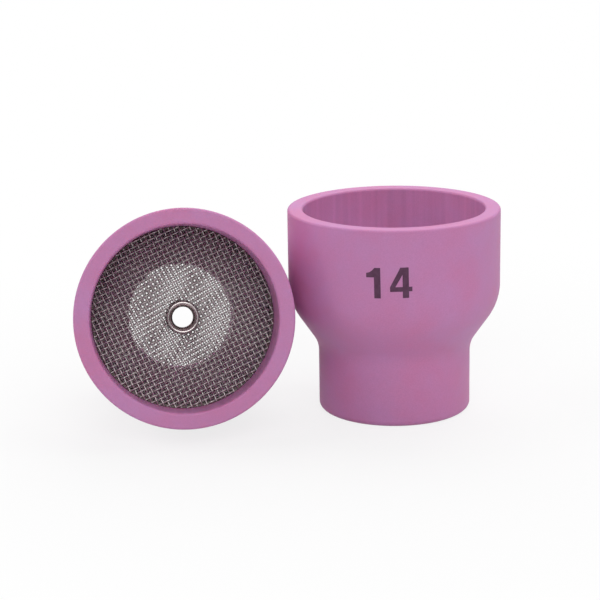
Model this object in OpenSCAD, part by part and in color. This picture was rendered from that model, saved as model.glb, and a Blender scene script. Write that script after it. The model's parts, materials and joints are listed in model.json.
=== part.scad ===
// Two gas-lens cups of a TIG torch. Each is a ceramic cup with a woven wire diffuser that pushes in from the mouth.
// One cup stands on its neck at the origin. The other lies on its side, beside the first.
// All sizes are in millimetres, and each cup is drawn with its axis along Z and its neck end at z = 0.

/* [Ceramic cup] */
// Length of the cup from its neck end to its rim
cup_h = 25.2; // [20:0.1:32]
// Bore at the mouth, 14 sixteenths of an inch
mouth_d = 22.2; // [18:0.1:27]
// Wall round the mouth
mouth_wall = 1.9; // [1.5:0.05:3]
// Bore of the neck, which slides over the torch's gas lens body
neck_bore_d = 13.2; // [10:0.1:16]
// Wall round the neck
neck_wall = 2.75; // [2:0.05:3.4]
// Height at which the neck turns into the outer cone
neck_h = 8.45; // [6:0.05:10.2]
// Height at which the outer cone turns into the mouth
shoulder_h = 13.75; // [12.5:0.05:16.5]
// Radius of the rounded shoulder
shoulder_round = 6.8; // [1:0.1:8.2]
// Radius of the hollow between neck and cone
neck_round = 4; // [0.5:0.1:5]
// Edge radius at the neck end
foot_round = 0.7; // [0.3:0.05:1.2]
// Edge radius on both sides of the rim
rim_round = 0.3; // [0.1:0.05:0.5]

/* [Inside of the cup] */
// How far the diffuser's seat lies below the outer shoulder corner
seat_drop = 0.4; // [0.2:0.05:1]
// Width of the seat ring under the diffuser's edge
seat_w = 1; // [0.6:0.05:1.4]
// How far the inner cone starts below the outer one
inner_drop = 0.15; // [0:0.05:1]

/* [Diffuser] */
// Thickness of a woven screen, two wires
screen_t = 0.4; // [0.2:0.02:0.6]
// Space between the two screens
screen_gap = 1.8; // [1:0.1:3]
// Thickness of the spring band's strip
band_t = 0.3; // [0.2:0.02:0.6]
// Opening where the spring band is split
band_split = 1.2; // [0.5:0.1:3]
// Radial clearance of the diffuser in the mouth bore
slide_clear = 0.05; // [0.02:0.01:0.1]

/* [Centre ferrule] */
// Bore of the ferrule, for a 2.4 mm electrode
ferrule_bore_d = 2.56; // [1.8:0.02:3.4]
// Wall of the ferrule's tube
ferrule_wall = 0.25; // [0.15:0.01:0.4]
// Height of the rolled lip above the front screen
lip_h = 0.62; // [0.4:0.02:0.9]
// Width of the rolled lip
lip_w = 0.76; // [0.5:0.02:1]
// Length of the tube behind the washer, flared over
clinch_h = 0.4; // [0.2:0.02:0.8]
// Width of the flared end
clinch_w = 0.5; // [0.42:0.02:0.8]
// Thickness of the washer behind the rear screen
washer_t = 0.4; // [0.2:0.05:0.8]
// Width of the washer's ring
washer_w = 0.55; // [0.5:0.05:1.5]
// Wall of the spacer sleeve between the screens
sleeve_wall = 0.4; // [0.2:0.05:0.8]
// Radial clearance of the screens, sleeve and washer on the ferrule
ferrule_clear = 0.03; // [0.01:0.01:0.08]

/* [The pair] */
// Distance between the cups' widest cylinders, seen from above
pair_gap = 0.15; // [0.1:0.05:10]
// How far the lying cup's neck end is behind the standing cup's axis
lying_setback = 13.4; // [5:0.1:25]
// Turn of the lying cup about the standing cup's axis, in degrees
lying_turn = 4.9; // [-10:0.1:15]
// Turn of the lying cup's diffuser in its bore, in degrees
diffuser_turn = 30; // [0:1:90]

/* [Hidden] */
$fn = 96;

alumina_pink = "#B173A2";
steel = "#A8A4A0";

mouth_r = mouth_d / 2;
rim_r = mouth_r + mouth_wall;
bore_r = neck_bore_d / 2;
neck_r = bore_r + neck_wall;
seat_z = shoulder_h - seat_drop;
seat_r = mouth_r - seat_w;
inner_cone_z = neck_h - inner_drop;

// The diffuser is a stack on the seat: rear screen, band and sleeve, front screen
pack_r = mouth_r - slide_clear;
band_z = seat_z + screen_t;
front_z = band_z + screen_gap;
lip_z = front_z + screen_t;
tube_r = ferrule_bore_d / 2 + ferrule_wall;
hole_r = tube_r + ferrule_clear;
washer_z = seat_z - washer_t;
tail_z = washer_z - clinch_h;

// Steps in a quarter turn of each rounded edge, and of each wide arc between neck, cone and mouth
arc_steps = 10;
wide_arc_steps = 40;
// Smallest radius that counts as a wide arc
wide_arc = 1;

function unit(v) = v / norm(v);

// Points of the arc of radius r that rounds the corner at b, on the way from a to c
function rounded(a, b, c, r) =
    let (
        u = unit(a - b),
        v = unit(c - b),
        half = acos(max(-1, min(1, u * v))) / 2,
        centre = b + unit(u + v) * r / sin(half),
        from = b + u * r / tan(half) - centre,
        to = b + v * r / tan(half) - centre,
        sweep = 180 - 2 * half,
        turn = sign(from[0] * to[1] - from[1] * to[0]) * sweep,
        steps = max(3, ceil((r < wide_arc ? arc_steps : wide_arc_steps) * sweep / 90))
    )
    [for (i = [0:steps])
        let (t = turn * i / steps)
        centre + [from[0] * cos(t) - from[1] * sin(t), from[0] * sin(t) + from[1] * cos(t)]];

// Corners of the wall's cut, as [radius, height], going up the outside
foot = [neck_r, 0];
neck = [neck_r, neck_h];
shoulder = [rim_r, shoulder_h];
rim_out = [rim_r, cup_h];
rim_in = [mouth_r, cup_h];

// A lying cup touches the floor with its shoulder's arc and its foot's edge. The line that touches both circles
// gives the tilt of its axis, and the height of the neck end's centre.
shoulder_half = atan2(shoulder[0] - neck[0], shoulder[1] - neck[1]) / 2;
arc_centre = [rim_r - shoulder_round, shoulder_h + shoulder_round * tan(shoulder_half)];
foot_centre = [neck_r - foot_round, foot_round];
between = arc_centre - foot_centre;
lie_tilt = atan2(between[0], between[1]) + asin((shoulder_round - foot_round) / norm(between));
lie_h = foot_centre[0] * cos(lie_tilt) - foot_centre[1] * sin(lie_tilt) + foot_round;

module standing() {
    children();
}

module lying() {
    rotate([0, 0, lying_turn])
        translate([-(2 * rim_r + pair_gap), lying_setback, lie_h])
            rotate([90 - lie_tilt, 0, 0])
                rotate([0, 0, diffuser_turn])
                    children();
}

module ring(z, h, r_in, r_out) {
    translate([0, 0, z])
        difference() {
            cylinder(h = h, r = r_out);
            translate([0, 0, -1]) cylinder(h = h + 2, r = r_in);
        }
}

// Neck, outer cone and mouth in one wall, with the diffuser's seat and the inner cone inside
module cup() {
    color(alumina_pink)
        rotate_extrude()
            polygon(concat(
                [[bore_r, 0]],
                rounded([bore_r, 0], foot, neck, foot_round),
                rounded(foot, neck, shoulder, neck_round),
                rounded(neck, shoulder, rim_out, shoulder_round),
                rounded(shoulder, rim_out, rim_in, rim_round),
                rounded(rim_out, rim_in, [mouth_r, seat_z], rim_round),
                [[mouth_r, seat_z], [seat_r, seat_z], [bore_r, inner_cone_z]]
            ));
}

// The round of wire cloth, as a plain disc with the ferrule's hole
module screen(z) {
    color(steel) ring(z, screen_t, hole_r, pack_r);
}

// Split strip that springs out against the bore and keeps the screens' edges apart
module spring_band() {
    color(steel)
        difference() {
            ring(band_z, screen_gap, pack_r - band_t, pack_r);
            translate([pack_r - 2 * band_t, -band_split / 2, band_z - 1])
                cube([4 * band_t, band_split, screen_gap + 2]);
        }
}

// Eyelet: a tube with a rolled lip in front, round on top and flat on the screen, and a flared end behind the washer
module ferrule() {
    lip_in = ferrule_bore_d / 2;
    lip_out = lip_in + lip_w;
    lip_half = lip_w / 2;
    flare_out = lip_in + clinch_w;
    color(steel)
        rotate_extrude()
            polygon(concat(
                [[lip_in, tail_z], [lip_in + clinch_w / 2, tail_z], [flare_out, washer_z - clinch_h / 3]],
                [[flare_out, washer_z], [tube_r, washer_z], [tube_r, lip_z], [lip_out, lip_z]],
                [for (i = [0:2 * arc_steps])
                    let (t = 90 * i / arc_steps)
                    [lip_in + lip_half + lip_half * cos(t), lip_z + lip_h - lip_half + lip_half * sin(t)]]
            ));
}

module spacer_sleeve() {
    color(steel) ring(band_z, screen_gap, hole_r, hole_r + sleeve_wall);
}

module ferrule_washer() {
    color(steel) ring(washer_z, washer_t, hole_r, hole_r + washer_w);
}

standing() cup();  // standing_cup
standing() screen(front_z);  // standing_front_screen
standing() screen(seat_z);  // standing_rear_screen
standing() spring_band();  // standing_spring_band
standing() ferrule();  // standing_ferrule
standing() spacer_sleeve();  // standing_spacer_sleeve
standing() ferrule_washer();  // standing_ferrule_washer
lying() cup();  // lying_cup
lying() screen(front_z);  // lying_front_screen
lying() screen(seat_z);  // lying_rear_screen
lying() spring_band();  // lying_spring_band
lying() ferrule();  // lying_ferrule
lying() spacer_sleeve();  // lying_spacer_sleeve
lying() ferrule_washer();  // lying_ferrule_washer
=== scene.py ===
# %% [markdown]
# # Two gas-lens cups
# A gas-lens cup is the ceramic nozzle of a TIG welding torch. A woven wire diffuser inside it smooths the
# shielding gas. This lesson dresses two such cups, one standing on its neck and one lying on its side. The
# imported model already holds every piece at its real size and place, so it is loaded first as a fixed frame.
# Its box is kept, because the finished looks have to stay inside it.

# %% Load the frame
import json
import math

import bpy
import numpy as np
from mathutils import Matrix, Vector


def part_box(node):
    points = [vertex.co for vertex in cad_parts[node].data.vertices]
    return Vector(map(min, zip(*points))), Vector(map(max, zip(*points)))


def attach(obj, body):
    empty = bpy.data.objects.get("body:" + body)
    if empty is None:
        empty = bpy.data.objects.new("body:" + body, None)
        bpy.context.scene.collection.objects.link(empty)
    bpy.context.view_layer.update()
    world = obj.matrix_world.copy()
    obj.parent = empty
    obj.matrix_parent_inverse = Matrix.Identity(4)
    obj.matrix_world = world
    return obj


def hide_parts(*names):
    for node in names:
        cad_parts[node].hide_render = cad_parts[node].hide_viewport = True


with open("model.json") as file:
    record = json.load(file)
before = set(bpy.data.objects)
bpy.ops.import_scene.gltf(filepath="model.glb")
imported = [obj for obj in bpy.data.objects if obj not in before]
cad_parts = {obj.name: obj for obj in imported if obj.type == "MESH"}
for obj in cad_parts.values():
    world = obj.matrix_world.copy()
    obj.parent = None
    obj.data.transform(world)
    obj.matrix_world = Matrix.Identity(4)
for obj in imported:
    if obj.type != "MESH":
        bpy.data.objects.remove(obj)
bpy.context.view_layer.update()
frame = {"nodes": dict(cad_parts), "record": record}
print("nodes in the frame:", len(frame["nodes"]))

# %% [markdown]
# ## Sizes
# Blender counts in metres, and these pieces are thought of in millimetres, so one factor turns one into the
# other. Sizes that another piece depends on are read off the frame. The standing cup's axis is Z, so the
# boxes of its own nodes give each piece's radius and heights directly. Only what no box or mount shows is
# typed.

# %% Read the sizes
MM = 0.001
mounts = {mount["name"]: mount for mount in frame["record"]["mounts"]}


def extent(node):
    """Radius, bottom and top in millimetres of a round node of the standing cup."""
    low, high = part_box("standing_" + node)
    return high.x / MM, low.z / MM, high.z / MM


rim_radius, _, cup_height = extent("cup")
screen_radius, front_bottom, front_top = extent("front_screen")
_, rear_bottom, rear_top = extent("rear_screen")
_, washer_bottom, _ = extent("ferrule_washer")
lip_radius, tail, lip_top = extent("ferrule")
electrode_radius = mounts["standing_electrode_bore"]["dims"]["r_mm"]

# two small sizes that no box shows: the diffuser's clearance in the mouth, and the wall of the ferrule's tube
SLIDE_CLEARANCE = 0.05
FERRULE_WALL = 0.25
mouth_radius = screen_radius + SLIDE_CLEARANCE
tube_radius = electrode_radius + FERRULE_WALL
print(f"cup {2 * rim_radius:.1f} across, {cup_height:.1f} high; screen {2 * screen_radius:.1f} across")

# %% [markdown]
# ## One cup's own axes
# Both cups are the same, so each new piece is worked out once, about its own Z axis, and then carried into
# place. A rotation matrix built from three unit vectors does that: the third vector is the cup's axis,
# which the torch's mount states, and the first lies level. This keeps every object at the origin with its
# place in its mesh.

# %% Place pieces on a cup's axis
def cup_axes(cup):
    """Neck end's centre, and a matrix whose columns are the cup's level, upper and own axes."""
    mount = mounts[cup + "_torch_bore"]
    own = -np.array(mount["axis"], float)
    own /= np.linalg.norm(own)
    level = np.cross([0.0, 0.0, 1.0], own)
    length = np.linalg.norm(level)
    level = level / length if length > 1e-6 else np.array([1.0, 0.0, 0.0])
    return np.array(mount["pos_m"], float), np.column_stack([level, np.cross(own, level), own])


def place(points, cup):
    """Points in millimetres about a cup's axis, as metres in the frame."""
    origin, axes = cup_axes(cup)
    return origin + (points * MM) @ axes.T


CUPS = ("standing", "lying")
for cup in CUPS:
    print(cup, "axis", np.round(cup_axes(cup)[1][:, 2], 3))

# %% [markdown]
# ## From arrays to a mesh
# A mesh is a list of points and a list of faces. numpy works both out as whole arrays, and foreach_set
# copies them into Blender in one go, which is far quicker than adding faces one by one. Faces of four
# corners are enough for every piece here. Smooth shading hides the facets, and edges sharper than an angle
# are kept crisp.

# %% Build a mesh from arrays
def make_piece(name, points, quads, body, stands_for=(), crisp=40):
    """A mesh object from points in the frame and rows of four corner numbers, riding on a body."""
    mesh = bpy.data.meshes.new(name)
    mesh.vertices.add(len(points))
    mesh.vertices.foreach_set("co", np.asarray(points, np.float32).ravel())
    mesh.loops.add(quads.size)
    mesh.loops.foreach_set("vertex_index", quads.astype(np.int32).ravel())
    mesh.polygons.add(len(quads))
    mesh.polygons.foreach_set("loop_start", np.arange(0, quads.size, 4, dtype=np.int32))
    mesh.polygons.foreach_set("use_smooth", np.ones(len(quads), bool))
    mesh.update(calc_edges=True)
    mesh.validate()
    mesh.set_sharp_from_angle(angle=math.radians(crisp))
    piece = bpy.data.objects.new(name, mesh)
    bpy.context.scene.collection.objects.link(piece)
    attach(piece, body)
    if stands_for:
        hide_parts(*stands_for)
    print(f"{name}: {len(points)} points, {2 * len(quads)} triangles")
    return piece


# %% [markdown]
# ## Woven wire cloth
# The diffuser's screens are plain-weave stainless cloth: each wire goes over one crossing wire and under
# the next. The front screen is coarse. The rear one is hardly seen, and it is taken to be finer, so that
# the gas is spread in two steps. An image of a grid on a disc would be quick, but it has no depth, and the
# light that comes up the neck has to pass through real gaps in two layers, one turned a little against the
# other, to make the shimmer that such screens show. So every wire is a real tube. Its height follows a
# cosine, which peaks where it crosses over and dips where it crosses under, half a wire up and half a wire
# down.

# %% Sizes of the cloth
# pitch, wire and bend in millimetres, turn in degrees, bend_turn in radians, sides of a wire, rings per pitch
FRONT_CLOTH = {"pitch": 0.6, "wire": 0.2, "turn": 23, "bend": 0.22, "bend_turn": 0.6,
               "sides": 8, "rings": 4}
REAR_CLOTH = {"pitch": 0.305, "wire": 0.113, "turn": 26.8, "bend": 0.2, "bend_turn": 2.1,
              "sides": 6, "rings": 2}
# millimetres: length of the bend's wave, and how far the cloth stops short of the disc's edge
BEND_WAVE, CLOTH_INSET = 26, 0.02
for cloth in (FRONT_CLOTH, REAR_CLOTH):
    print(f"open area: {(1 - cloth['wire'] / cloth['pitch']) ** 2:.0%}")


# %% [markdown]
# The wires of one direction lie in lanes, one pitch apart. A lane ends where it meets the disc's edge, and
# a lane that meets the ferrule's hole is cut in two. The ring positions along all lanes sit in one big
# array, and np.clip pulls those past an end back onto the end. Segments of no length are then left out, so
# all the wires come from the same few lines, with no loop over points.

# %% Weave the wires of one direction
def wires(cloth, radius, hole):
    """Rings and faces of one direction's wires, running along x.

    Ring centre = (s, lane, wire/2 * (-1)^lane number * cos(pi * s / pitch)), for s along the lane, and the
    ring lies square to that path.
    """
    pitch, wire, sides = cloth["pitch"], cloth["wire"], cloth["sides"]
    number = np.arange(-int(radius / pitch), int(radius / pitch) + 1)
    lane = number * pitch
    reach = np.sqrt(radius**2 - lane**2)
    gap = np.sqrt(np.maximum(hole**2 - lane**2, 0))
    cut = gap > 0
    low = np.concatenate([-reach, gap[cut]])
    high = np.concatenate([np.where(cut, -gap, reach), reach[cut]])
    lane = np.concatenate([lane, lane[cut]])
    phase = np.concatenate([(-1.0) ** number, (-1.0) ** number[cut]])

    end = int(radius / pitch * cloth["rings"]) + 1
    s = np.clip(np.arange(-end, end + 1) * pitch / cloth["rings"], low[:, None], high[:, None])
    joined = np.diff(s, axis=1) > 1e-6
    none = np.zeros((len(lane), 1), bool)
    used = np.hstack([joined, none]) | np.hstack([none, joined])
    ring_number = np.cumsum(used).reshape(used.shape) - 1

    turn = 2 * np.pi * np.arange(sides) / sides
    height = wire / 2 * phase[:, None] * np.cos(np.pi * s / pitch)
    slope = -wire / 2 * phase[:, None] * np.pi / pitch * np.sin(np.pi * s / pitch)
    flat = 1 / np.sqrt(1 + slope**2)
    rings = np.stack([
        s[..., None] - wire / 2 * np.sin(turn) * (slope * flat)[..., None],
        lane[:, None, None] + wire / 2 * np.cos(turn) + np.zeros_like(s)[..., None],
        height[..., None] + wire / 2 * np.sin(turn) * flat[..., None],
    ], axis=-1)[used]

    start = ring_number[:, :-1][joined][:, None] * sides
    here, after = np.arange(sides), np.roll(np.arange(sides), -1)
    tube = np.stack([start + here, start + after, start + after + sides, start + here + sides], axis=-1)
    first = joined & ~np.hstack([none, joined[:, :-1]])
    last = joined & ~np.hstack([joined[:, 1:], none])
    fan = np.array([[0, i, i + 1, i + 2] for i in range(1, sides - 2, 2)])
    tails = (ring_number[:, :-1][first] * sides)[:, None, None] + fan[:, ::-1]
    heads = (ring_number[:, 1:][last] * sides)[:, None, None] + fan
    quads = np.concatenate([part.reshape(-1, 4) for part in (tube, tails, heads)])
    return rings.reshape(-1, 3), quads


# %% [markdown]
# The second direction is the first turned a quarter turn, with its overs and unders swapped. Real cloth is
# never quite square once it is blanked and pressed in, so a slow bend of about a fifth of a millimetre is
# added to the whole sheet. That takes some of the stiffness out of the pattern in which the two layers beat
# against each other.

# %% Turn two directions into a screen
def screen(cup, layer, cloth, middle):
    """Plain-weave disc: two sets of wires, bent by bend * sin(2 pi q / wave) across q, and turned."""
    warp, quads = wires(cloth, screen_radius - CLOTH_INSET, tube_radius + cloth["wire"] / 2)
    weft = np.column_stack([-warp[:, 1], warp[:, 0], -warp[:, 2]])
    points = np.concatenate([warp, weft])
    inside = 1 - np.hypot(points[:, 0], points[:, 1]) ** 2 / screen_radius**2
    across = points[:, 0] * math.cos(cloth["bend_turn"]) + points[:, 1] * math.sin(cloth["bend_turn"])
    shift = cloth["bend"] * np.sin(2 * np.pi * across / BEND_WAVE) * inside
    points[:, 0] -= shift * math.sin(cloth["bend_turn"])
    points[:, 1] += shift * math.cos(cloth["bend_turn"])
    angle = math.radians(cloth["turn"])
    cosine, sine = math.cos(angle), math.sin(angle)
    points = points @ np.array([[cosine, sine, 0], [-sine, cosine, 0], [0, 0, 1]]) + [0, 0, middle]
    quads = np.concatenate([quads, quads[:, ::-1] + len(warp)])
    node = f"{cup}_{layer}_screen"
    return make_piece(node + "_cloth", place(points, cup), quads,
                      cup + "_diffuser", (node,), crisp=70)


cloths = []
for cup in CUPS:
    cloths.append(screen(cup, "front", FRONT_CLOTH, (front_bottom + front_top) / 2))
    cloths.append(screen(cup, "rear", REAR_CLOTH, (rear_bottom + rear_top) / 2))

# %% [markdown]
# ## The rolled ferrule
# The ferrule is an eyelet, drawn from sheet: a thin tube whose front edge is rolled outwards over the
# cloth. A spun profile is the natural way to make it. The lip's cut is a round bead with a slope down into
# the bore inside it and a short skirt over the cloth outside it, and the tail behind the washer is flared
# in an arc too. Arcs, and not corners, give the bright ring that a rolled edge catches.

# %% Spin a closed profile
def arc(centre_r, centre_z, size_r, size_z, start, stop, steps):
    """Points (r, z) of an arc: centre + (size_r cos t, size_z sin t), for t from start to stop degrees."""
    t = np.radians(np.linspace(start, stop, steps))
    return np.column_stack([centre_r + size_r * np.cos(t), centre_z + size_z * np.sin(t)])


def spin(profile, slices=96):
    """Surface of revolution of a closed profile: (r, z) at angle t becomes (r cos t, r sin t, z)."""
    t = 2 * np.pi * np.arange(slices) / slices
    r, z = profile[:, 0], profile[:, 1]
    points = np.stack([np.outer(np.cos(t), r), np.outer(np.sin(t), r), np.tile(z, (slices, 1))], axis=-1)
    corner = np.arange(slices * len(r)).reshape(slices, len(r))
    beside = np.roll(corner, -1, axis=0)
    quads = np.stack([corner, beside, np.roll(beside, -1, axis=1), np.roll(corner, -1, axis=1)], axis=-1)
    return points.reshape(-1, 3), quads.reshape(-1, 4)


# millimetres: the bead's radius, its centre's distance from the bore, and the depth of the funnel inside it
BEAD, BEAD_OUT, FUNNEL = 0.18, 0.5, 0.42
# the lip's skirt rests this far above the cloth and is this high
SKIRT_GAP, SKIRT_TOP = 0.02, 0.08
# the flared tail: the curl's two radii, its centre's distance from the bore, and the radius inside the flare
CURL_R, CURL_Z, CURL_OUT, FLARE = 0.13, 0.16, 0.36, 0.3


def eyelet_profile():
    """The ferrule's cut, going up its outside and down its bore."""
    return np.concatenate([
        arc(electrode_radius + CURL_OUT, tail + CURL_Z, CURL_R, CURL_Z, -100, 80, 9),
        [[tube_radius, washer_bottom], [tube_radius, front_top]],
        [[lip_radius, front_top + SKIRT_GAP], [lip_radius, front_top + SKIRT_TOP]],
        arc(electrode_radius + BEAD_OUT, lip_top - BEAD, BEAD, BEAD, -40, 140, 16),
        [[electrode_radius, lip_top - FUNNEL]],
        arc(electrode_radius + FLARE, tail + FLARE, FLARE, FLARE, 180, 260, 8),
    ])


ferrules = []
for cup in CUPS:
    points, quads = spin(eyelet_profile())
    ferrules.append(make_piece(cup + "_rolled_ferrule", place(points, cup), quads,
                               cup + "_diffuser", (cup + "_ferrule",), crisp=50))

# %% [markdown]
# ## The size number
# A cup carries its size as a plain number, the bore in sixteenths of an inch, printed in ink and fired on.
# Only the standing cup turns its number to the front, so only that one is drawn. Blender's text object
# could write it, but the proportions of the print are followed more closely by giving the corners of each
# digit. A digit is a stack of bands, and the edges of a band are numbers or functions of height. Each band
# is a grid of two parameters, wrapped round the cup as a film a few hundredths of a millimetre thick.

# %% Draw the digits as bands
DIGIT_HEIGHT = 3.66


def slope_of_four(y):
    """Left edge of the 4's slanting stroke at height y."""
    return 2.79 + (y - 1.35) * (4.03 - 2.79) / (DIGIT_HEIGHT - 1.35)


def notch_of_four(y):
    """Right edge of the slanting stroke, along the open triangle."""
    return 3.41 + (y - 1.33) * (4.27 - 3.41) / (2.8 - 1.33)


def flag_of_one(y):
    """Left edge of the 1's flag at height y: far out at its foot, curving in to the stem's top."""
    rise = np.clip((y - 3.04) / (DIGIT_HEIGHT - 3.04), 0, 1)
    return 0.98 - 0.98 * (1 - rise**0.5)


# bottom and top of each band in millimetres, and its left and right edges: three bands are the 1, five the 4
BANDS = [
    (0.0, 2.52, 0.92, 1.68),
    (2.52, 3.04, 0.0, 1.68),
    (3.04, DIGIT_HEIGHT, flag_of_one, 1.68),
    (0.0, 0.78, 4.27, 5.0),
    (0.78, 1.33, 2.79, 5.4),
    (1.33, 2.8, slope_of_four, notch_of_four),
    (1.33, 2.8, 4.27, 5.0),
    (2.8, DIGIT_HEIGHT, slope_of_four, 5.0),
]


def film(bottom, top, left, right, across=9, up=9):
    """Closed slab between two grids (u, y) of a band, in flat print coordinates with depth 0 and 1."""
    y = np.linspace(bottom, top, up)
    edges = [edge(y) if callable(edge) else np.full(up, edge) for edge in (left, right)]
    mix = np.linspace(0, 1, across)[:, None]
    u = edges[0] * (1 - mix) + edges[1] * mix
    face = np.stack([u, np.tile(y, (across, 1))], axis=-1)
    points = np.concatenate([np.dstack([face, np.full_like(u, depth)]).reshape(-1, 3) for depth in (0, 1)])
    corner = np.arange(across * up).reshape(across, up)
    grid = np.stack([corner[:-1, :-1], corner[1:, :-1], corner[1:, 1:], corner[:-1, 1:]], axis=-1)
    grid = grid.reshape(-1, 4)
    rim = np.concatenate([corner[:, 0], corner[-1, 1:], corner[-2::-1, -1], corner[0, -2:0:-1]])
    beside = np.roll(rim, -1)
    skirt = np.stack([rim, beside, beside + across * up, rim + across * up], axis=-1)
    return points, np.concatenate([grid[:, ::-1], grid + across * up, skirt])


# %% [markdown]
# Wrapping is one line of trigonometry: a distance along the print becomes an angle round the cup. The
# number sits a little left of the front, and a degree or so out of level, as a print put on by hand would
# be.

# %% Wrap the digits round the standing cup
# millimetres: the digits' middle from their left end, and their foot above the neck end; then degrees
PRINT_MIDDLE, PRINT_FOOT = 2.62, 17.1
PRINT_ANGLE, PRINT_TILT = -95.6, 1.0
# how far the ink stands out of the wall and reaches into it, in millimetres
INK_THICKNESS, INK_SUNK = 0.02, 0.01


def wrap(points):
    """Print coordinates to the cup's wall: angle = PRINT_ANGLE + (u - middle) / radius."""
    tilt = math.radians(PRINT_TILT)
    u, y = points[:, 0] - PRINT_MIDDLE, points[:, 1] - DIGIT_HEIGHT / 2
    along, up = u * math.cos(tilt) - y * math.sin(tilt), u * math.sin(tilt) + y * math.cos(tilt)
    angle = math.radians(PRINT_ANGLE) + along / rim_radius
    radius = rim_radius - INK_SUNK + points[:, 2] * (INK_SUNK + INK_THICKNESS)
    height = up + PRINT_FOOT + DIGIT_HEIGHT / 2
    return np.column_stack([radius * np.cos(angle), radius * np.sin(angle), height])


films, film_quads, total = [], [], 0
for band in BANDS:
    points, quads = film(*band)
    films.append(wrap(points))
    film_quads.append(quads + total)
    total += len(points)
size_number = make_piece("size_number_ink", place(np.concatenate(films), "standing"),
                         np.concatenate(film_quads), "standing_cup", crisp=60)

# %% [markdown]
# ## Colours and nodes
# A colour picked on a screen is an sRGB value, and Blender's sockets want linear light, so one function
# turns hex into linear. Materials are built from nodes, and one small function adds a node with its
# settings and its links.

# %% Helpers for materials
def linear(hex_colour):
    """Linear RGBA of an sRGB hex colour."""
    srgb = np.array([int(hex_colour[i:i + 2], 16) / 255 for i in (1, 3, 5)])
    rgb = np.where(srgb <= 0.04045, srgb / 12.92, ((srgb + 0.055) / 1.055) ** 2.4)
    return (*rgb.tolist(), 1.0)


def add(tree, kind, settings=None, links=None):
    """Adds one node; settings are attributes or input values, links feed inputs from other nodes' sockets."""
    made = tree.nodes.new(kind)
    for key, value in (settings or {}).items():
        if isinstance(key, str) and hasattr(made, key):
            setattr(made, key, value)
        else:
            made.inputs[key].default_value = value
    for key, socket in (links or {}).items():
        tree.links.new(socket, made.inputs[key])
    return made


def new_material(name):
    """An empty material and its node tree, with an output."""
    material = bpy.data.materials.new(name)
    material.use_nodes = True
    material.node_tree.nodes.clear()
    return material, material.node_tree, add(material.node_tree, "ShaderNodeOutputMaterial")


def dress(piece, material):
    """Gives a piece one material."""
    piece.data.materials.clear()
    piece.data.materials.append(material)


# %% [markdown]
# ## Pink alumina
# The cups are pressed and sintered alumina, of the pink kind that usually owes its colour to chromium
# oxide. It is matt, with a fine dry grain, a little light creeps into it at the edges, and its colour
# drifts softly between rose and lilac. Inside the mouth the pressing core has left faint lines along the
# bore, and the colour there is painted lighter, as painted light that stands in for light falling into the
# mouth. A pattern in Object coordinates stays put on the ceramic, and a Mapping node turns it onto each
# cup's own axis, so that the lines run along the bore of the lying cup too.

# %% Sizes of the alumina's patterns
# A noise stays mostly between these two values, so they are what every pattern is stretched from
NOISE_LOW, NOISE_HIGH = 0.3, 0.7
# width in millimetres of the clouds of colour and of the grain; the real grain of a few microns is too
# fine to show, so it is drawn coarser
CLOUD, GRAIN = 8, 0.16
# lines in the bore: noise steps per radian round it and per metre along it, and how much the bore is
# lightened in them, partly as painted light
LINES_ROUND, LINES_ALONG = 14.0, 20.0
LIGHTEST_LINE_AND_PAINTED_LIGHT = 0.16
# millimetres past the bore's radius that still count as the bore
BORE_MARGIN = 0.05
print(f"clouds {CLOUD} mm, grain {GRAIN} mm")


# %% Draw the core's lines and the bore's painted light
def bore_lines_and_painted_light(tree, own):
    """Factor on the colour: 1 outside, and in the mouth's bore 1 to 1.16 in lines along the cup's axis, a
    lightening that is partly painted light.

    The lines are a noise of (angle round the axis, height), stretched along the height. The bore is where the
    distance from the axis is less than the mouth's radius and the height is above the rear screen.
    """
    apart = add(tree, "ShaderNodeSeparateXYZ", links={"Vector": own})
    angle = add(tree, "ShaderNodeMath", {"operation": "ARCTAN2"},
                {0: apart.outputs["Y"], 1: apart.outputs["X"]})
    round_and_up = add(tree, "ShaderNodeCombineXYZ", links={"X": angle.outputs[0], "Y": apart.outputs["Z"]})
    lines = add(tree, "ShaderNodeMapping", {"Scale": (LINES_ROUND, LINES_ALONG, 1.0)},
                {"Vector": round_and_up.outputs[0]})
    line = add(tree, "ShaderNodeTexNoise", {"Scale": 1.0, "Detail": 3.0}, {"Vector": lines.outputs["Vector"]})
    out = add(tree, "ShaderNodeVectorMath", {"operation": "MULTIPLY", 1: (1.0, 1.0, 0.0)}, {0: own})
    off_axis = add(tree, "ShaderNodeVectorMath", {"operation": "LENGTH"}, {0: out.outputs[0]})
    within = add(tree, "ShaderNodeMath", {"operation": "LESS_THAN", 1: (mouth_radius + BORE_MARGIN) * MM},
                 {0: off_axis.outputs["Value"]})
    above = add(tree, "ShaderNodeMath", {"operation": "GREATER_THAN", 1: rear_bottom * MM},
                {0: apart.outputs["Z"]})
    bore = add(tree, "ShaderNodeMath", {"operation": "MULTIPLY"}, {0: within.outputs[0], 1: above.outputs[0]})
    lighter = add(tree, "ShaderNodeMapRange",
                  {"From Min": NOISE_LOW, "From Max": NOISE_HIGH, "To Min": 0.0, "To Max": LIGHTEST_LINE_AND_PAINTED_LIGHT},
                  {"Value": line.outputs["Fac"]})
    # painted light: in the bore the colour is lightened by up to 16 percent along the core's lines, standing
    # in for light falling into the mouth
    tone = add(tree, "ShaderNodeMath", {"operation": "MULTIPLY_ADD", 2: 1.0},
               {0: lighter.outputs[0], 1: bore.outputs[0]})
    return tone.outputs[0]


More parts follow.
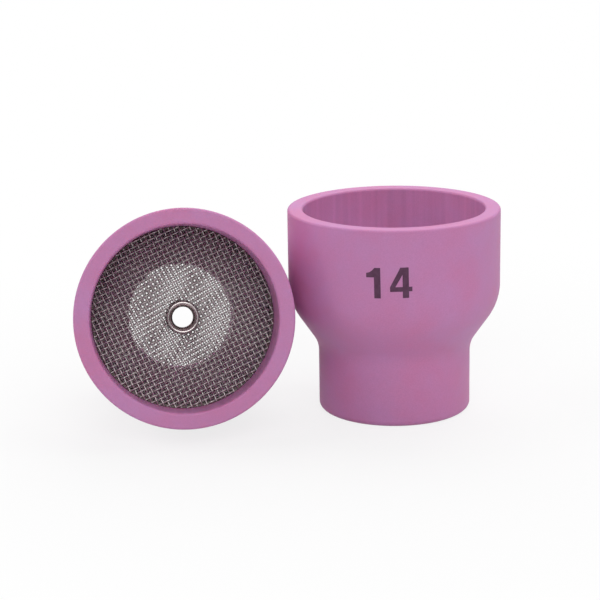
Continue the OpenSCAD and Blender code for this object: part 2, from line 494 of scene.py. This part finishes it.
# %% Make the alumina
def alumina(cup):
    """Sintered alumina: mottled rose, fine grain, faint lines with painted light in the bore, and a matt
    skin.
    """
    material, tree, output = new_material(f"{cup}_sintered_alumina")
    origin, axes = cup_axes(cup)
    turned = Matrix(axes.tolist()).to_euler("XYZ")
    place_in = add(tree, "ShaderNodeTexCoord")
    own = add(tree, "ShaderNodeMapping",
              {"vector_type": "TEXTURE", "Location": origin.tolist(), "Rotation": turned},
              {"Vector": place_in.outputs["Object"]})
    cloud = add(tree, "ShaderNodeTexNoise", {"Scale": 1 / (CLOUD * MM), "Detail": 4.0, "Roughness": 0.6},
                {"Vector": own.outputs["Vector"]})
    grain = add(tree, "ShaderNodeTexNoise", {"Scale": 1 / (GRAIN * MM), "Detail": 3.0, "Roughness": 0.6},
                {"Vector": own.outputs["Vector"]})
    rose = add(tree, "ShaderNodeValToRGB", links={"Fac": cloud.outputs["Fac"]})
    rose.color_ramp.elements[0].position, rose.color_ramp.elements[0].color = 0.36, linear("#C383B6")
    rose.color_ramp.elements[1].position, rose.color_ramp.elements[1].color = 0.66, linear("#C77BAB")
    speck = add(tree, "ShaderNodeMapRange",
                {"From Min": NOISE_LOW, "From Max": NOISE_HIGH, "To Min": 0.94, "To Max": 1.05},
                {"Value": grain.outputs["Fac"]})
    tone = add(tree, "ShaderNodeMath", {"operation": "MULTIPLY"},
               {0: speck.outputs[0], 1: bore_lines_and_painted_light(tree, own.outputs["Vector"])})
    shade = add(tree, "ShaderNodeVectorMath", {"operation": "SCALE"},
                {0: rose.outputs["Color"], "Scale": tone.outputs[0]})
    dull = add(tree, "ShaderNodeMapRange",
               {"From Min": NOISE_LOW, "From Max": NOISE_HIGH, "To Min": 0.52, "To Max": 0.64},
               {"Value": grain.outputs["Fac"]})
    dry = add(tree, "ShaderNodeBump", {"Strength": 0.25, "Distance": 0.02 * MM},
              {"Height": grain.outputs["Fac"]})
    surface = add(tree, "ShaderNodeBsdfPrincipled",
                  {"IOR": 1.5, "Subsurface Weight": 0.12, "Subsurface Scale": 0.8 * MM},
                  {"Base Color": shade.outputs[0], "Roughness": dull.outputs[0], "Normal": dry.outputs[0]})
    tree.links.new(surface.outputs[0], output.inputs[0])
    return material


for cup in CUPS:
    dress(frame["nodes"][cup + "_cup"], alumina(cup))
print("alumina on", CUPS)

# %% [markdown]
# ## Stainless steel, three ways
# The cloth, the ferrule and the hidden strip are all austenitic stainless steel, but they were made
# differently: drawn through a die, spun to a polish, or cold-rolled. A metal has no colour under its
# surface, so one Principled shader at full metallic serves all three, and only the tint and the roughness
# change. The strip's tint is far darker than steel's, as painted shade that keeps the gap between the
# screens dark. A slow noise varies the roughness, because gas and handling dull the steel in patches.

# %% Make the steels
# how far a patch's roughness lies from the mean
PATCHES = 0.06


def stainless(name, hex_colour, rough, patch_mm):
    """Austenitic stainless steel with patches of a slightly different polish."""
    material, tree, output = new_material(name)
    place_in = add(tree, "ShaderNodeTexCoord")
    patches = add(tree, "ShaderNodeTexNoise", {"Scale": 1 / (patch_mm * MM), "Detail": 3.0},
                  {"Vector": place_in.outputs["Object"]})
    polish = add(tree, "ShaderNodeMapRange",
                 {"From Min": NOISE_LOW, "From Max": NOISE_HIGH,
                  "To Min": rough - PATCHES, "To Max": rough + PATCHES},
                 {"Value": patches.outputs["Fac"]})
    tint = add(tree, "ShaderNodeMapRange",
               {"From Min": NOISE_LOW, "From Max": NOISE_HIGH, "To Min": 0.86, "To Max": 1.0},
               {"Value": patches.outputs["Fac"]})
    shade = add(tree, "ShaderNodeVectorMath", {"operation": "SCALE", 0: linear(hex_colour)[:3]},
                {"Scale": tint.outputs[0]})
    surface = add(tree, "ShaderNodeBsdfPrincipled", {"Metallic": 1.0},
                  {"Base Color": shade.outputs[0], "Roughness": polish.outputs[0]})
    tree.links.new(surface.outputs[0], output.inputs[0])
    return material


# drawn wire glints along its length, and its skin is dulled by the die
drawn_wire = stainless("drawn_stainless_wire", "#CCC7C5", 0.5, 1.5)
# the eyelet was polished by the roll that turned its lip, so it catches a sharp ring of light
rolled_eyelet = stainless("rolled_stainless_eyelet", "#C4BEBB", 0.24, 2.0)
# painted shade: the strip's tint is far darker than stainless steel, so the gap between the screens stays
# dark behind the bright wires; it is also duller
painted_shade_strip = stainless("cold_rolled_stainless_strip", "#6F6864", 0.5, 3.0)
for cloth in cloths:
    dress(cloth, drawn_wire)
for ferrule in ferrules:
    dress(ferrule, rolled_eyelet)
for cup in CUPS:
    for part in ("spring_band", "spacer_sleeve", "ferrule_washer"):
        dress(frame["nodes"][f"{cup}_{part}"], painted_shade_strip)
print("steel on", 2 * len(CUPS) + len(ferrules) + 3 * len(CUPS), "pieces")

# %% [markdown]
# ## Fired ink
# The size number is a ceramic ink, fired until it bites into the surface. It is dark plum, matt, and
# slightly patchy where the pad left less ink.

# %% Make the ink
# width of a thin patch in millimetres
INK_PATCH = 0.7


def fired_ink():
    """Matt plum ink, thinner in places."""
    material, tree, output = new_material("fired_plum_ink")
    place_in = add(tree, "ShaderNodeTexCoord")
    patches = add(tree, "ShaderNodeTexNoise", {"Scale": 1 / (INK_PATCH * MM), "Detail": 2.0},
                  {"Vector": place_in.outputs["Object"]})
    ink = add(tree, "ShaderNodeValToRGB", links={"Fac": patches.outputs["Fac"]})
    ink.color_ramp.elements[0].position, ink.color_ramp.elements[0].color = 0.35, linear("#53304A")
    ink.color_ramp.elements[1].position, ink.color_ramp.elements[1].color = 0.7, linear("#5F3C57")
    surface = add(tree, "ShaderNodeBsdfPrincipled", {"Roughness": 0.8, "IOR": 1.45},
                  {"Base Color": ink.outputs[0]})
    tree.links.new(surface.outputs[0], output.inputs[0])
    return material


dress(size_number, fired_ink())

# %% [markdown]
# ## Floor, light and camera
# The cups stand on a white sweep under soft light. Seen straight on, the sweep is near white, and that
# whiteness comes from a Light Path switch and not from stronger lamps, so the ceramic keeps its own colour
# and the floor keeps a faint shadow. The same switch serves glossy rays, so that the steel mirrors the
# white studio.

# %% Lay the floor
# metres from the origin between which the plain white takes over, and its share before and after
WHITE_FROM, WHITE_TO = 0.025, 0.09
WHITE_NEAR, WHITE_FAR = 0.8, 1.0


def studio_white():
    """White floor: part lit surface, part plain white to the camera and to mirrors."""
    material, tree, output = new_material("white_sweep")
    path = add(tree, "ShaderNodeLightPath")
    seen = add(tree, "ShaderNodeMath", {"operation": "MAXIMUM"},
               {0: path.outputs["Is Camera Ray"], 1: path.outputs["Is Glossy Ray"]})
    seen = add(tree, "ShaderNodeMath", {"operation": "MAXIMUM"},
               {0: seen.outputs[0], 1: path.outputs["Is Transmission Ray"]})
    place_in = add(tree, "ShaderNodeTexCoord")
    away = add(tree, "ShaderNodeVectorMath", {"operation": "LENGTH"}, {0: place_in.outputs["Object"]})
    whiter = add(tree, "ShaderNodeMapRange",
                 {"interpolation_type": "SMOOTHSTEP", "From Min": WHITE_FROM, "From Max": WHITE_TO,
                  "To Min": WHITE_NEAR, "To Max": WHITE_FAR},
                 {"Value": away.outputs["Value"]})
    share = add(tree, "ShaderNodeMath", {"operation": "MULTIPLY"}, {0: seen.outputs[0], 1: whiter.outputs[0]})
    paper = add(tree, "ShaderNodeBsdfDiffuse", {"Color": linear("#E4E4E4")})
    plain = add(tree, "ShaderNodeEmission", {"Color": (1, 1, 1, 1), "Strength": 1.0})
    mixed = add(tree, "ShaderNodeMixShader",
                links={0: share.outputs[0], 1: paper.outputs[0], 2: plain.outputs[0]})
    tree.links.new(mixed.outputs[0], output.inputs[0])
    return material


# half the floor's side in metres
FLOOR = 1.5
floor_corners = [(-FLOOR, -FLOOR, 0), (FLOOR, -FLOOR, 0), (FLOOR, FLOOR, 0), (-FLOOR, FLOOR, 0)]
floor_mesh = bpy.data.meshes.new("floor")
floor_mesh.from_pydata(floor_corners, [], [(0, 1, 2, 3)])
floor = bpy.data.objects.new("floor", floor_mesh)
bpy.context.scene.collection.objects.link(floor)
dress(floor, studio_white())
print("floor laid at height 0")


# %% [markdown]
# Four large lamps stand round the cups and above them, each far wider than a cup, so that the shadows are
# soft and the rims have no hard glints. One number each was left to find, the power: the cups were rendered
# under one lamp at a time, and the powers were chosen so that the mix gives every side of the ceramic its
# brightness. An even, weak sky fills what the lamps leave, and mirrors see it stronger, because steel shows
# little but its surroundings.

# %% Light the cups
def softbox(name, spot, aim, width, height, watts):
    """A rectangular area lamp at spot, facing aim."""
    lamp = bpy.data.lights.new(name, "AREA")
    lamp.shape = "RECTANGLE"
    lamp.size, lamp.size_y, lamp.energy = width, height, watts
    holder = bpy.data.objects.new(name, lamp)
    holder.location = Vector(spot)
    holder.rotation_euler = (Vector(aim) - Vector(spot)).to_track_quat("-Z", "Y").to_euler()
    bpy.context.scene.collection.objects.link(holder)


# place of each lamp in metres, its two sides in metres and its power in watts
MIDDLE = (-0.012, 0.0, 0.013)
softbox("high_rear_softbox", (0.05, 0.25, 0.4), MIDDLE, 0.4, 0.4, 1.45)
softbox("high_right_softbox", (0.3, 0.0, 0.35), MIDDLE, 0.35, 0.35, 0.72)
softbox("high_front_softbox", (0.0, -0.42, 0.35), MIDDLE, 0.4, 0.3, 1.38)
softbox("left_softbox", (-0.42, 0.05, 0.25), MIDDLE, 0.3, 0.3, 0.8)

# strength of the even sky on surfaces and in mirrors; the camera sees it at 1
SKY_FILL, SKY_MIRRORED = 0.08, 0.35
world = bpy.data.worlds.new("studio")
world.use_nodes = True
bpy.context.scene.world = world
sky = world.node_tree
sky.nodes.clear()
sky_path = add(sky, "ShaderNodeLightPath")
sky_seen = add(sky, "ShaderNodeMath", {"operation": "MAXIMUM"},
               {0: sky_path.outputs["Is Camera Ray"], 1: sky_path.outputs["Is Transmission Ray"]})
sky_glossy = add(sky, "ShaderNodeMapRange", {"To Min": SKY_FILL, "To Max": SKY_MIRRORED},
                 {"Value": sky_path.outputs["Is Glossy Ray"]})
sky_strength = add(sky, "ShaderNodeMath", {"operation": "MAXIMUM"},
                   {0: sky_seen.outputs[0], 1: sky_glossy.outputs[0]})
sky_light = add(sky, "ShaderNodeBackground", {"Color": (1, 1, 1, 1)}, {"Strength": sky_strength.outputs[0]})
add(sky, "ShaderNodeOutputWorld", links={0: sky_light.outputs[0]})
print("lamps:", len(bpy.data.lights))

# %% [markdown]
# The camera looks slightly down through a long lens, which keeps the cups' sides nearly upright. It is
# aimed at a point between the cups, and rolled by just under a degree.

# %% Set the camera
# millimetres, then degrees, then the lens in millimetres
CAMERA_AIM, CAMERA_DISTANCE = (-11.61, 3.39, 12.72), 250.4
CAMERA_TILT, CAMERA_ROLL = 14.94, -0.9
LENS = 120.0
# nearest thing the camera draws, in metres
NEAREST = 0.01


def aim_camera():
    """Camera at a distance from its aim, looking along +Y and down by the tilt, rolled about its own axis."""
    tilt, roll = math.radians(CAMERA_TILT), math.radians(CAMERA_ROLL)
    forward = np.array([0.0, math.cos(tilt), -math.sin(tilt)])
    up = np.array([0.0, math.sin(tilt), math.cos(tilt)])
    right = np.array([1.0, 0.0, 0.0])
    turned_right = right * math.cos(roll) + up * math.sin(roll)
    turned_up = up * math.cos(roll) - right * math.sin(roll)
    spot = np.array(CAMERA_AIM) * MM - forward * CAMERA_DISTANCE * MM
    lens = bpy.data.cameras.new("camera")
    lens.lens = LENS
    lens.clip_start = NEAREST
    camera = bpy.data.objects.new("camera", lens)
    pose = np.eye(4)
    pose[:3, :3] = np.column_stack([turned_right, turned_up, -forward])
    pose[:3, 3] = spot
    camera.matrix_world = Matrix(pose.tolist())
    bpy.context.scene.collection.objects.link(camera)
    bpy.context.scene.camera = camera


aim_camera()
bpy.context.scene.view_settings.view_transform = "Standard"
print("camera at", np.round(np.array(bpy.context.scene.camera.location) / MM, 1), "mm")
